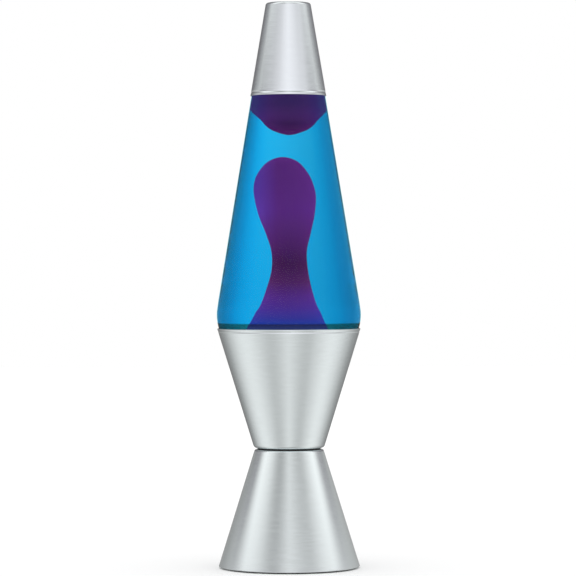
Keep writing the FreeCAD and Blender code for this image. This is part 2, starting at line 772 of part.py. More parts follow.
def envelope_edges(inset):
    """The bulb's outline, or inset its inside: a straight neck, then a line that runs into the ball."""
    ball_r = BULB_R - inset
    neck_r = BULB_NECK_R - inset
    ball_z = BULB_CONTACT_Z + BULB_LENGTH - BULB_R
    drop = ball_z - BULB_NECK_TOP_Z
    touch_angle = math.acos(ball_r / math.hypot(neck_r, drop)) - math.atan2(drop, neck_r)

    def on_ball(angle):
        return Vector(ball_r * math.cos(angle), 0, ball_z + ball_r * math.sin(angle))

    bottom = Vector(neck_r, 0, BULB_NECK_Z)
    neck = Vector(neck_r, 0, BULB_NECK_TOP_Z)
    touch = on_ball(touch_angle)
    middle = on_ball((touch_angle + math.pi / 2) / 2)
    return [
        Part.LineSegment(bottom, neck).toShape(),
        Part.LineSegment(neck, touch).toShape(),
        Part.Arc(touch, middle, Vector(0, 0, ball_z + ball_r)).toShape(),
    ]


def bulb_glass():
    """The thin clear envelope, open at the neck's lower end."""
    outside = envelope_edges(0)
    inside = envelope_edges(BULB_GLASS)
    top = Part.LineSegment(outside[-1].lastVertex().Point, inside[-1].lastVertex().Point).toShape()
    bottom = Part.LineSegment(outside[0].firstVertex().Point, inside[0].firstVertex().Point).toShape()
    wire = Part.Wire(Part.__sortEdges__(outside + inside + [top, bottom]))
    return Part.Face(wire).revolve(ORIGIN, UP, 360)


def bulb_screw_cap():
    """The E17 cap. Its thread is drawn as level ridges, one pitch apart."""
    inner = BULB_NECK_R + FIT_GAP
    first_z = BULB_CAP_BOTTOM_Z + BULB_CAP_PLAIN
    last_z = first_z + BULB_CAP_RINGS * BULB_PITCH
    root = BULB_CAP_R - BULB_RING_DEPTH
    outline = [(inner, BULB_CAP_BOTTOM_Z), (root, BULB_CAP_BOTTOM_Z)]
    for i in range(BULB_CAP_RINGS):
        z = first_z + i * BULB_PITCH
        outline += [
            (root, z, BULB_RING_ROUND),
            (BULB_CAP_R, z + BULB_PITCH * 0.3, BULB_RING_ROUND),
            (BULB_CAP_R, z + BULB_PITCH * 0.7, BULB_RING_ROUND),
        ]
    outline += [(root, last_z, BULB_RING_ROUND), (root, BULB_CAP_TOP_Z), (inner, BULB_CAP_TOP_Z)]
    return turned(outline)


def bulb_insulator():
    """The dark glass disc that closes the cap's lower end around the centre contact."""
    bottom_z = BULB_CONTACT_Z + BUTTON_HEIGHT
    top_z = BULB_CAP_BOTTOM_Z + INSULATOR_TOP
    return turned(
        [
            (BUTTON_SHANK_R, bottom_z),
            (BUTTON_R, bottom_z),
            (BULB_NECK_R, top_z - INSULATOR_EDGE),
            (BULB_NECK_R, top_z),
            (BUTTON_SHANK_R, top_z),
        ]
    )


def bulb_contact():
    """The solder button at the foot of the bulb."""
    seat_z = BULB_CONTACT_Z + BUTTON_HEIGHT - FIT_GAP
    shank_r = BUTTON_SHANK_R - FIT_GAP
    return turned(
        [
            (0, BULB_CONTACT_Z),
            (BUTTON_R, BULB_CONTACT_Z, BUTTON_ROUND),
            (BUTTON_R, seat_z),
            (shank_r, seat_z),
            (shank_r, seat_z + BUTTON_SHANK),
            (0, seat_z + BUTTON_SHANK),
        ]
    )


def bulb_stem():
    """The glass mount inside the bulb: a flare in the neck and a thin rod up towards the filament."""
    flare_z = BULB_NECK_Z + STEM_FLARE_GAP
    return turned(
        [
            (0, flare_z),
            (BULB_NECK_R - BULB_GLASS - FIT_GAP, flare_z),
            (STEM_TUBE_R, STEM_TUBE_Z, 2.0),
            (STEM_PRESS_R, STEM_PRESS_Z, 0.8),
            (STEM_ROD_R, STEM_ROD_Z),
            (STEM_ROD_R, STEM_TOP_Z, 0.3),
            (0, STEM_TOP_Z),
        ]
    )


def bulb_support_wires():
    """The two lead-in wires that hold the ends of the filament."""
    start = Vector(SUPPORT_WIRE_X, 0, STEM_PRESS_Z - STEM_FLARE_GAP)
    end = Vector(FILAMENT_SPAN / 2 + 2 * SUPPORT_WIRE_R, 0, FILAMENT_Z)
    wire = Part.makeCylinder(SUPPORT_WIRE_R, start.distanceToPoint(end), start, end - start)
    return Part.Compound(around(wire, 2))


def bulb_filament():
    """The filament, as the thin rod that its coil fills, arched up between the two lead-in wires."""
    start = Vector(-FILAMENT_SPAN / 2, 0, FILAMENT_Z)
    end = Vector(FILAMENT_SPAN / 2, 0, FILAMENT_Z)
    arc = Part.Arc(start, Vector(0, 0, FILAMENT_Z + FILAMENT_RISE), end).toShape()
    section = Part.Wire(Part.makeCircle(FILAMENT_R, start, arc.tangentAt(arc.FirstParameter)))
    return Part.Wire(arc).makePipeShell([section], True, False)


# Globe


def glass_bottle():
    """The sealed bottle: a crown-cork finish, a short neck, a long cone and a rounded heel."""
    outside = [
        (MOUTH_R, MOUTH_Z, FINISH_ROUND),
        (NECK_R, MOUTH_Z, LIP_ROUND),
        (FINISH_R, MOUTH_Z - LIP_HEIGHT, FINISH_ROUND),
        (FINISH_R, FINISH_Z, FINISH_ROUND),
        (NECK_R, FINISH_Z - FINISH_ROUND),
        (NECK_R, NECK_BASE_Z, NECK_ROUND),
        (bottle_outer(SHOULDER_Z), SHOULDER_Z, SHOULDER_ROUND),
        *heel_corners(0),
    ]
    return turned(outside + inside_corners(0)[::-1])


def bottle_hollow():
    """What the bottle can hold, up to its filling level, just clear of the glass."""
    whole = turned([(0, MOUTH_Z), (MOUTH_R - FLUID_GAP, MOUTH_Z), *inside_corners(FLUID_GAP)])
    return whole.common(cylinder(HEEL_CENTRE_R + HEEL_R, 0, FILL_Z))


def wax_column():
    """Wax rising from the floor: a flared foot, a narrow waist and a round head."""
    floor_z = inside_corners(FLUID_GAP)[-1][1] - PUNT_RISE
    side = [(COLUMN_FOOT_R, floor_z), *COLUMN_SIDE, (0, COLUMN_TOP_Z)]
    column = turned_curve(side, COLUMN_FOOT_SLOPE, (-1, 0), [(0, floor_z)])
    return column.common(bottle_hollow())


def wax_float():
    """Wax gathered at the top of the bottle, bulging down in the middle."""
    side = [(0, FLOAT_BOTTOM_Z), *FLOAT_SIDE, (0, FLOAT_TOP_Z)]
    return turned_curve(side, (1, 0), (-1, 0), [])


def wire_coil():
    """The coiled wire ring on the bottle's floor, as the tube that its turns fill."""
    return Part.makeTorus(COIL_RING_R, COIL_R, Vector(0, 0, COIL_Z), UP)


def lamp_liquid():
    """All of the bottle's hollow below the filling level that the wax and the coil leave."""
    return bottle_hollow().cut(Part.Compound([wax_column(), wax_float(), wire_coil()]))


def crown_cap():
    """The pressed steel crown, with its skirt fluted all round."""
    top_under = CORK_TOP_Z - CORK_SHEET
    crown = turned(
        [
            (0, CORK_TOP_Z),
            (CORK_INNER_R + CORK_SHEET, CORK_TOP_Z, CORK_TOP_ROUND),
            (CORK_SKIRT_R - CORK_FLARE, CORK_SKIRT_Z + CORK_FLARE_HEIGHT, CORK_FLARE),
            (CORK_SKIRT_R, CORK_SKIRT_Z, CORK_SHEET),
            (CORK_INNER_R, CORK_SKIRT_Z),
            (CORK_INNER_R, CORK_CROWN_Z),
            (CORK_CROWN_R, top_under, CORK_CROWN_ROUND),
            (0, top_under),
        ]
    )
    flute = cylinder(FLUTE_R, CORK_SKIRT_Z - CUT_OVER, CORK_TOP_Z - CORK_TOP_ROUND, x=FLUTE_CIRCLE_R)
    return crown.cut(Part.Compound(around(flute, CORK_FLUTES)))


def crown_liner():
    """The soft disc between the crown and the bottle's mouth."""
    top = CORK_TOP_Z - CORK_SHEET
    return turned([(0, MOUTH_Z), (LINER_R, MOUTH_Z), (LINER_R, top), (0, top)])


# Cap


def cap_outer(z):
    """Outer radius of the cap's cone, which rests on the top of the bottle's."""
    rest_r = bottle_outer(CAP_REST_Z) + FIT_GAP + CAP_WALL
    return rest_r + CAP_TAPER * (CAP_REST_Z - z)


def top_cap():
    """The loose cap: one spun sheet with a small round at the top and a groove above its rim."""
    under_top = TOTAL_HEIGHT - CAP_SHEET
    edge = SHEET_EDGE * CAP_SHEET
    cap = turned(
        [
            (0, TOTAL_HEIGHT),
            (cap_outer(TOTAL_HEIGHT), TOTAL_HEIGHT, CAP_TOP_ROUND),
            (cap_outer(CAP_RIM_Z), CAP_RIM_Z, edge),
            (cap_outer(CAP_RIM_Z) - CAP_WALL, CAP_RIM_Z, edge),
            (cap_outer(under_top) - CAP_WALL, under_top, CAP_TOP_ROUND - CAP_SHEET),
            (0, under_top),
        ]
    )
    groove_z = CAP_RIM_Z + CAP_GROOVE_ABOVE_RIM
    return cap.cut(rolled_groove(cap_outer(groove_z), groove_z, -CAP_TAPER, CAP_GROOVE_WIDTH))


SUBPARTS = {
    "lower_cone": lower_cone,
    "upper_cone": upper_cone,
    "waist_gasket": waist_gasket,
    "base_ring": base_ring,
    "base_plate": base_plate,
    "plate_screws": plate_screws,
    "cord_bush": cord_bush,
    "lampholder_body": lampholder_body,
    "lampholder_screw_shell": lampholder_screw_shell,
    "lampholder_centre_contact": lampholder_centre_contact,
    "lampholder_rivets": lampholder_rivets,
    "lampholder_terminals": lampholder_terminals,
    "lampholder_ring_nut": lampholder_ring_nut,
    "terminal_screws": terminal_screws,
    "bulb_glass": bulb_glass,
    "bulb_screw_cap": bulb_screw_cap,
    "bulb_insulator": bulb_insulator,
    "bulb_contact": bulb_contact,
    "bulb_stem": bulb_stem,
    "bulb_support_wires": bulb_support_wires,
    "bulb_filament": bulb_filament,
    "glass_bottle": glass_bottle,
    "wax_column": wax_column,
    "wax_float": wax_float,
    "wire_coil": wire_coil,
    "lamp_liquid": lamp_liquid,
    "crown_cap": crown_cap,
    "crown_liner": crown_liner,
    "top_cap": top_cap,
}


def export(name, shape):
    for solid in shape.Solids:
        if not solid.isValid() or solid.Volume <= 0:
            raise ValueError(f"{name} has a solid that is not valid")
    shape.exportStep(f"parts/{name}.step")


def main():
    os.makedirs("parts", exist_ok=True)
    for name, build in SUBPARTS.items():
        export(name, build())
    for index in range(4):
        export(f"rubber_foot_{index + 1}", rubber_foot(index))
    for name, side in (("live", 1), ("neutral", -1)):
        wire = lead(side)
        length = wire.Volume / (math.pi * LEAD_R**2)
        print(f"lead_{name}: bend radius {lead_bend_radius():.1f}, length {length:.1f}")
        export(f"lead_{name}", wire)
        export(f"splice_cap_{name}", splice_cap(side))


main()
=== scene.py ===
"""Lava lamp: its looks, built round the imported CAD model.

Lengths are in metres, unless the name of a value ends in MM.
"""

import json
import math

import bpy
from mathutils import Matrix, Vector
from mathutils.bvhtree import BVHTree


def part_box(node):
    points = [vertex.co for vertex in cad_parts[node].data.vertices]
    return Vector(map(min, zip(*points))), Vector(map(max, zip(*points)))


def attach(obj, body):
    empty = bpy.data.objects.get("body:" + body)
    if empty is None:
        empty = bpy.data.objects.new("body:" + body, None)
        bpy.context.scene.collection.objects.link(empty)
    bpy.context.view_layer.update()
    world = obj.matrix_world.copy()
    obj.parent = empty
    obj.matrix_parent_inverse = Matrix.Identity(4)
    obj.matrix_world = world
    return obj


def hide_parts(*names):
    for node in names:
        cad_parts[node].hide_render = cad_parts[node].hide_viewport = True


MM = 0.001
TAU = 2 * math.pi
WHITE = (1.0, 1.0, 1.0, 1.0)

# Camera
CAMERA_DISTANCE = 2.066
CAMERA_HEIGHT = 0.198
CAMERA_LENS = 198.0
CAMERA_TILT = math.radians(0.43)
CAMERA_ROLL = math.radians(-0.12)
CAMERA_SIDE = -0.0005

# Studio: a white room. The metal mirrors soft upright strips in it, brighter and darker by turns.
ROOM_FILL = 1.15
FLOOR_SIZE = 8.0
FLOOR_COLOUR = 0.93
FOOT_STRIPS = [  # (degrees round from the front, brightness): those that the foot mirrors
    (0, 0.78),
    (30, 0.56),
    (50, 0.68),
    (80, 1.12),
    (90, 1.09),
    (101, 0.88),
    (112, 0.73),
    (125, 0.62),
    (145, 0.50),
    (180, 0.38),
    (215, 0.38),
    (235, 0.52),
    (250, 0.66),
    (260, 0.84),
    (270, 1.03),
    (280, 1.11),
    (308, 0.75),
    (332, 0.44),
]
CUP_STRIPS = [  # those that the cup mirrors
    (0, 0.84),
    (30, 0.62),
    (50, 0.72),
    (82, 0.94),
    (110, 0.74),
    (132, 0.46),
    (152, 0.30),
    (180, 0.24),
    (210, 0.28),
    (230, 0.48),
    (252, 0.78),
    (278, 0.92),
    (308, 0.73),
    (330, 0.62),
]
CAP_STRIPS = [  # those that the cap mirrors
    (0, 1.07),
    (35, 0.91),
    (60, 0.74),
    (78, 0.48),
    (90, 0.46),
    (101, 0.44),
    (112, 0.40),
    (125, 0.32),
    (145, 0.24),
    (180, 0.20),
    (215, 0.20),
    (235, 0.30),
    (250, 0.34),
    (260, 0.38),
    (270, 0.41),
    (280, 0.44),
    (290, 0.54),
    (310, 0.69),
    (335, 0.93),
]
CAP_TINT = (1.01, 0.975, 1.03)
STEEP_FROM = (0.42, 0.46)  # how steeply a ray must rise or fall to leave the strips nearest the horizon
SWAP_FROM = (0.56, 0.68)  # the steeper strips are the foot's towards the front and the cap's round the back
LEAST_ARCH = 0.05  # straight behind the lamp the strips close in to the horizon, but never wholly
CEILING_FROM = (0.80, 0.92)  # how much of a ray's direction is upward, or downward, to meet them
CEILING = 1.10
GROUND = 0.45
BRIGHTEST = 2.0  # ramps hold colours up to 1, so they are given as shares of this
THROUGH_SWING = 0.13  # what is seen through the bottle is brighter on one hand and darker on the other
THROUGH_WAVES = 4.0  # round the whole room

# Surface grain, in every solid finish
GRAIN_RANGE = (0.3, 0.7)  # the span of the noise that is put to use
GRAIN_DETAIL = 2.0
GRAIN_DEPTH = 0.05 * MM
GRAIN_GLOSS_SWING = 0.1
PLAIN_GRAIN_SCALE = 900.0
PLAIN_COLOUR_SWING = 0.05

# Spun aluminium
ALUMINIUM = (0.80, 0.855, 0.86)
SATIN_GRAIN_SCALE = 1500.0
SATIN_COLOUR_SWING = 0.025
SATIN_ROUGHNESS = 0.16
SATIN_RELIEF = 0.12
SPIN_STRETCH = 12.0  # spinning draws the grain out round the axis

# Liquid
LIQUID_INSET = 0.3 * MM  # refraction makes it seem to fill the bottle, so it is drawn to just inside its face
LIQUID_TINT = (0.040, 0.56, 0.89)
LIQUID_DENSITY = 17.7
LIQUID_COLOUR = (0.011, 0.712, 0.853)
LIQUID_IOR = 1.333
LIQUID_SHOULDER_MM = [  # (radius, height), going up to the neck
    (20.5, 323.8),
    (17.0, 325.3),
    (12.2, 327.6),
    (9.2, 329.4),
    (7.95, 331.7),
]

# Glass mirrors a little face on, and more where it turns away from the eye
GLASS_ROUGHNESS = 0.03
EDGE_GLOSS_POWER = 5.0
BULB_GLOSS = 0.04
BULB_EDGE_GLOSS = 0.6

# Bottle: clear glass. Its tint deepens towards the edges, partly its own tint over the longer path there and
# partly painted shade for the darker edges of the lit bottle, and at the thick heel, partly its own tint and
# partly painted shade for the dark cup seen through it.
BOTTLE_SKIN = 0.15 * MM
BOTTLE_GLOSS = 0.002
BOTTLE_EDGE_GLOSS = 0.05
BOTTLE_EDGE_TINT_AND_SHADE = [  # partly painted shade for the darker edges: (share turned away from the eye, colour let through)
    (0.0, (1.0, 1.0, 1.0)),
    (0.14, (0.93, 0.983, 0.990)),
    (0.21, (0.84, 0.962, 0.982)),
    (0.30, (0.76, 0.930, 0.960)),
    (0.41, (0.66, 0.872, 0.920)),
    (0.57, (0.60, 0.835, 0.880)),
    (1.0, (0.75, 0.940, 0.980)),
]
# The heel's dark band: partly the thick glass's own tint, partly painted shade for the dark cup seen through
# it.
HEEL_TINT_AND_SHADE = (0.90, 0.61, 0.49)
HEEL_TINT_AND_SHADE_Z = (159.2 * MM, 160.2 * MM)
UNDER_R = 30.8 * MM  # the underside reaches out to here, and the heel goes on from it
UNDER_STEPS = 11
HEEL_STEPS = 20
HEEL_START = 0.6 * MM
HEEL_HEIGHT = 26.6 * MM
HEEL_CROWDING = 1.6  # steps are crowded towards the bottom, where the heel turns fastest
SIDE_STEPS = 24
SHOULDER_BELOW = 1.6 * MM  # where the outlines leave the cone, below the liquid's shoulder
SHOULDER_SKIN = 0.05 * MM
NECK_STEPS = 16
MOUTH_R = 8.0 * MM
MOUTH_BEVEL = 0.5 * MM
BOTTLE_SEGMENTS = 160
NEAR_AXIS = 0.5 * MM  # a ray along the axis itself could slip between faces
FAR_SIDE = 1.0  # further out than any part of the lamp

# Wax: (height, sideways place of the middle, radius), from the top down
COLUMN_MM = [
    (266.4, -2.8, 0.0),
    (263.4, -2.8, 7.3),
    (255.5, -2.8, 12.5),
    (247.7, -2.4, 14.7),
    (239.9, -1.7, 15.1),
    (228.2, -1.0, 13.7),
    (216.4, -0.2, 11.0),
    (204.7, 0.2, 8.7),
    (193.0, 0.5, 8.9),
    (181.2, 0.2, 10.9),
    (170.0, -0.1, 13.8),
    (163.5, -0.5, 17.3),
    (158.0, -0.8, 20.4),
    (143.0, -0.3, 24.0),
]
FLOAT_MM = [
    (322.0, 0.0, 0.0),
    (320.6, 0.0, 9.0),
    (316.8, 0.1, 15.4),
    (310.2, 0.2, 19.4),
    (302.2, 0.2, 20.4),
    (296.6, 0.2, 18.4),
    (290.7, 0.5, 14.0),
    (286.8, 0.5, 11.5),
    (283.4, 0.4, 7.6),
    (280.7, 0.3, 0.0),
]
COLUMN_PAINTED_GLOW = [  # painted glow, for the bulb's light shining up through the wax: (height in millimetres, colour)
    (158.6, (0.16, 0.12, 0.60)),  # painted glow, brighter behind the bottle's dark heel
    (161.0, (0.10, 0.048, 0.29)),
    (167.5, (0.43, 0.036, 0.26)),
    (175.0, (0.62, 0.031, 0.22)),
    (185.0, (0.56, 0.022, 0.10)),
    (197.0, (0.36, 0.013, 0.06)),
    (212.0, (0.51, 0.019, 0.12)),
    (232.0, (0.61, 0.025, 0.19)),
    (262.0, (0.50, 0.021, 0.15)),
]
# Painted glow of the floating wax, for the bulb's light through it: (height in millimetres, colour)
FLOAT_PAINTED_GLOW = [(284.0, (0.13, 0.007, 0.04)), (294.0, (0.145, 0.013, 0.063)), (303.0, (0.16, 0.018, 0.082))]
WAX_COLOUR = (0.10, 0.006, 0.03)
WAX_ROUGHNESS = 0.5
COLUMN_PAINTED_RIM = (1.0, (1.9, 1.7, 1.5))  # painted rim light: (share turned away from the eye, how much the painted glow has grown there)
# The floating wax's painted rim light, in the same columns
FLOAT_PAINTED_RIM = (0.7, (3.8, 2.4, 2.8))
WAX_PAINTED_SIDE_LIGHT = (1.0, 1.6, 1.5)  # painted light from the left: the column's glow is cooler and brighter there, high up
WAX_PAINTED_SIDE_LIGHT_X = (-6.0 * MM, -14.0 * MM)
WAX_PAINTED_SIDE_LIGHT_Z = (205.0 * MM, 230.0 * MM)
WAX_STEPS = 8
WAX_SEGMENTS = 96

# Wire ring on the bottle's floor
COIL_RING_R = 28.6 * MM
COIL_R = 2.4 * MM
COIL_Z = 145.2 * MM
COIL_WIRE_R = 0.35 * MM
COIL_WIRE_SIDES = 6
COIL_TURNS = 64

# Bulb's screw thread, and the holder's
THREAD_PITCH = 2.822 * MM
THREAD_ROOT_R = 7.85 * MM
THREAD_DEPTH = 0.45 * MM
THREAD_START = 69.0 * MM
THREAD_END = 80.6 * MM
THREAD_FADE = 1.2 * MM
THREAD_SEGMENTS = 72
THREAD_STEP = 0.2 * MM
CAP_INNER_R = 7.65 * MM
SHELL_PLAY = 0.2 * MM
SHELL_THICKNESS = 0.35 * MM
SHELL_LEDGE_R = 7.7 * MM

# Filament: a coiled wire along a shallow arch
FILAMENT_HALF = 5.9 * MM
FILAMENT_Z = 104.0 * MM
FILAMENT_RISE = 2.0 * MM
FILAMENT_R = 0.29 * MM
FILAMENT_WIRE_R = 0.06 * MM
FILAMENT_WIRE_SIDES = 5
FILAMENT_TURNS = 36
FILAMENT_GLOW = 1.3
FILAMENT_GREY = 0.3
FILAMENT_ROUGHNESS = 0.4

POINTS_PER_TURN = 12

# How the plain finishes look: slot: (roughness, metallic, strength of the surface grain)
FINISHES = {
    "black_fibre": (0.80, 0.0, 0.30),
    "zinc_steel": (0.34, 1.0, 0.04),
    "black_plastic": (0.50, 0.0, 0.20),
    "black_rubber": (0.75, 0.0, 0.25),
    "phenolic": (0.28, 0.0, 0.06),
    "brass": (0.30, 1.0, 0.04),
    "lead_insulation": (0.48, 0.0, 0.10),
    "lead_insulation_pale": (0.48, 0.0, 0.10),
    "splice_nylon": (0.42, 0.0, 0.05),
    "bulb_nickel": (0.22, 1.0, 0.02),
    "bulb_vitrite": (0.12, 0.0, 0.03),
    "solder": (0.40, 1.0, 0.20),
    "coil_steel": (0.25, 1.0, 0.02),
    "crown_steel": (0.25, 1.0, 0.02),
    "crown_liner": (0.55, 0.0, 0.10),
}

# Sockets of Blender's Mix node when it mixes colours
MIX_AMOUNT = 0
MIX_FIRST = 6
MIX_SECOND = 7
MIX_RESULT = 2

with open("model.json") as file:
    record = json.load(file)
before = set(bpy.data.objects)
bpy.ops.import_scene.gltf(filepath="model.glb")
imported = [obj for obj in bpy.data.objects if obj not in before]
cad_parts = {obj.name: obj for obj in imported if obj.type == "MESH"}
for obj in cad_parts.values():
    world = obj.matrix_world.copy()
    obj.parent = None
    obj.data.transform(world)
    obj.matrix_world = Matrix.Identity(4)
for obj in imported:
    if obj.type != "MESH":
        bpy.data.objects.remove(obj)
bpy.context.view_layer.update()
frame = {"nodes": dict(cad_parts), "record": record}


# Node helpers


def add(tree, kind, inputs=None, **settings):
    """A new node with these settings. Each input is set to a value, or joined to another node's output."""
    node = tree.nodes.new(kind)
    for name, value in settings.items():
        setattr(node, name, value)
    for name, value in (inputs or {}).items():
        if isinstance(value, bpy.types.NodeSocket):
            tree.links.new(value, node.inputs[name])
        else:
            node.inputs[name].default_value = value
    return node


def maths(tree, operation, *values):
    return add(tree, "ShaderNodeMath", dict(enumerate(values)), operation=operation).outputs[0]


def ramp(tree, factor, stops, interpolation="LINEAR"):
    """A colour ramp. stops is a list of (position, colour)."""
    node = add(tree, "ShaderNodeValToRGB", {"Fac": factor})
    elements = node.color_ramp.elements
    node.color_ramp.interpolation = interpolation
    while len(elements) < len(stops):
        elements.new(1.0)
    for element, (position, colour) in zip(elements, stops):
        element.position = position
        element.color = solid(colour)
    return node.outputs["Color"]


def ranged(tree, value, start, end, low=0.0, high=1.0):
    """The value's place between start and end, carried over to between low and high."""
    inputs = {"Value": value, "From Min": start, "From Max": end, "To Min": low, "To Max": high}
    return add(tree, "ShaderNodeMapRange", inputs).outputs["Result"]


def blended(tree, amount, first, second, mode="MIX"):
    """Two colours mixed. Each is a colour or another node's output."""
    inputs = {MIX_AMOUNT: amount, MIX_FIRST: first, MIX_SECOND: second}
    return add(tree, "ShaderNodeMix", inputs, data_type="RGBA", blend_type=mode).outputs[MIX_RESULT]


def tinted(tree, colour, tint):
    return blended(tree, 1.0, colour, tint, "MULTIPLY")


def mixed_shader(tree, amount, first, second):
    return add(tree, "ShaderNodeMixShader", {0: amount, 1: first, 2: second}).outputs[0]


def split_place(tree):
    """The shaded point's place on the piece at rest, as X, Y and Z."""
    place = add(tree, "ShaderNodeTexCoord").outputs["Object"]
    return add(tree, "ShaderNodeSeparateXYZ", {"Vector": place}).outputs


def turned_away(tree):
    """How far the surface turns away from the eye, from 0 face on to 1 edge on."""
    return add(tree, "ShaderNodeLayerWeight").outputs["Facing"]


def grey(value):
    return (value, value, value)


def solid(colour):
    """A colour with the fourth number that Blender's colour sockets want."""
    return (*colour, 1.0)


def start_material(name):
    material = bpy.data.materials.new(name)
    material.use_nodes = True
    material.node_tree.nodes.clear()
    return material, material.node_tree


def end_material(tree, surface, volume=None):
    output = add(tree, "ShaderNodeOutputMaterial", {"Surface": surface})
    if volume is not None:
        tree.links.new(volume, output.inputs["Volume"])


# Mesh helpers


def new_piece(name, vertices, faces, material):
    mesh = bpy.data.meshes.new(name)
    mesh.from_pydata(vertices, [], faces)
    mesh.validate()
    mesh.shade_smooth()
    mesh.materials.append(material)
    piece = bpy.data.objects.new(name, mesh)
    bpy.context.scene.collection.objects.link(piece)
    return piece


def settle(piece, body, node):
    """Say which body a piece rides on, and hide the CAD node that it stands for."""
    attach(piece, body)
    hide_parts(node)


def turned(name, outline_at, segments, material, closed=False):
    """A surface turned about Z. outline_at(angle) lists (radius, height) points, outside on their right."""
    rows = [outline_at(TAU * i / segments) for i in range(segments)]
    count = len(rows[0])
    vertices = []
    index = {}
    for i, row in enumerate(rows):
        angle = TAU * i / segments
        for j, (r, z) in enumerate(row):
            if r == 0 and i > 0:
                index[i, j] = index[0, j]
                continue
            index[i, j] = len(vertices)
            vertices.append((r * math.cos(angle), r * math.sin(angle), z))
    faces = []
    for i in range(segments):
        k = (i + 1) % segments
        for j in range(count if closed else count - 1):
            m = (j + 1) % count
            corners = [index[i, j], index[k, j], index[k, m], index[i, m]]
            faces.append(list(dict.fromkeys(corners)))
    return new_piece(name, vertices, faces, material)


def tube(name, points, radius, sides, material, closed=False):
    """A round wire that follows the points."""
    count = len(points)
    vertices = []
    normal = None
    for i, point in enumerate(points):
        before = points[i - 1] if closed or i > 0 else point
        after = points[(i + 1) % count] if closed or i < count - 1 else point
        along = (after - before).normalized()
        if normal is None:
            normal = along.orthogonal().normalized()
        normal = (normal - along * normal.dot(along)).normalized()
        side = along.cross(normal)
        for k in range(sides):
            angle = TAU * k / sides
            vertices.append(point + radius * (normal * math.cos(angle) + side * math.sin(angle)))
    faces = []
    for i in range(count if closed else count - 1):
        j = (i + 1) % count
        for k in range(sides):
            m = (k + 1) % sides
            faces.append([i * sides + k, i * sides + m, j * sides + m, j * sides + k])
    if not closed:
        faces.append(list(range(sides))[::-1])
        faces.append([(count - 1) * sides + k for k in range(sides)])
    return new_piece(name, vertices, faces, material)


def smooth_rows(rows, steps):
    """Rows of numbers with a Catmull-Rom curve's steps between them. An end of radius 0 closes square."""

    def beyond(end, inner):
        if end[2] == 0:
            return inner[0], inner[1], -inner[2]
        return tuple(2 * e - n for e, n in zip(end, inner))

    padded = [beyond(rows[0], rows[1]), *rows, beyond(rows[-1], rows[-2])]
    result = []
    for span in zip(padded, padded[1:], padded[2:], padded[3:]):
        for i in range(steps):
            t = i / steps
            row = []
            for p, q, r, s in zip(*span):
                square = (2 * p - 5 * q + 4 * r - s) * t**2
                cube = (3 * q - p - 3 * r + s) * t**3
                row.append((2 * q + (r - p) * t + square + cube) / 2)
            result.append(tuple(row))
    result.append(tuple(rows[-1]))
    return result


def node_surface(node):
    """The CAD node's surface, for finding radii and heights on it."""
    mesh = frame["nodes"][node].data
    return BVHTree.FromPolygons([v.co for v in mesh.vertices], [p.vertices for p in mesh.polygons])


def outer_radius(surface, z):
    return surface.ray_cast(Vector((FAR_SIDE, 0.0, z)), Vector((-1.0, 0.0, 0.0)))[0].x


def under_height(surface, r):
    return surface.ray_cast(Vector((r, 0.0, 0.0)), Vector((0.0, 0.0, 1.0)))[0].z


# Scene


def make_camera():
    camera = bpy.data.objects.new("camera", bpy.data.cameras.new("camera"))
    bpy.context.scene.collection.objects.link(camera)
    camera.data.lens = CAMERA_LENS
    camera.location = (CAMERA_SIDE, -CAMERA_DISTANCE, CAMERA_HEIGHT)
    tilt = Matrix.Rotation(math.pi / 2 - CAMERA_TILT, 4, "X")
    roll = Matrix.Rotation(CAMERA_ROLL, 4, "Z")
    camera.rotation_euler = (tilt @ roll).to_euler()
    bpy.context.scene.camera = camera


def strip_ramp(tree, share, strips, tint=grey(1.0)):
    closed = [*strips, (360, strips[0][1])]
    stops = [(degrees / 360, [value / BRIGHTEST * c for c in tint]) for degrees, value in closed]
    return ramp(tree, share, stops, "CARDINAL")


def mirrored_room(tree, azimuth, up):
    """What metal mirrors, by direction: tiers of upright strips, a bright ceiling and a dim ground."""
    share = maths(tree, "FRACT", maths(tree, "DIVIDE", azimuth, TAU))
    arch = maths(tree, "ABSOLUTE", maths(tree, "COSINE", maths(tree, "DIVIDE", azimuth, 2.0)))
    steepness = maths(tree, "DIVIDE", maths(tree, "ABSOLUTE", up), maths(tree, "MAXIMUM", arch, LEAST_ARCH))
    steep = ranged(tree, steepness, *STEEP_FROM)
    front = ranged(tree, arch, *SWAP_FROM)
    to_cap = maths(tree, "ABSOLUTE", maths(tree, "SUBTRACT", steep, front))
    down = maths(tree, "MULTIPLY", up, -1.0)
    to_cup = maths(tree, "MULTIPLY", steep, maths(tree, "GREATER_THAN", down, 0.0))
    room = strip_ramp(tree, share, FOOT_STRIPS)
    room = blended(tree, to_cap, room, strip_ramp(tree, share, CAP_STRIPS, CAP_TINT))
    room = blended(tree, to_cup, room, strip_ramp(tree, share, CUP_STRIPS))
    room = blended(tree, ranged(tree, up, *CEILING_FROM), room, solid(grey(CEILING / BRIGHTEST)))
    return blended(tree, ranged(tree, down, *CEILING_FROM), room, solid(grey(GROUND / BRIGHTEST)))


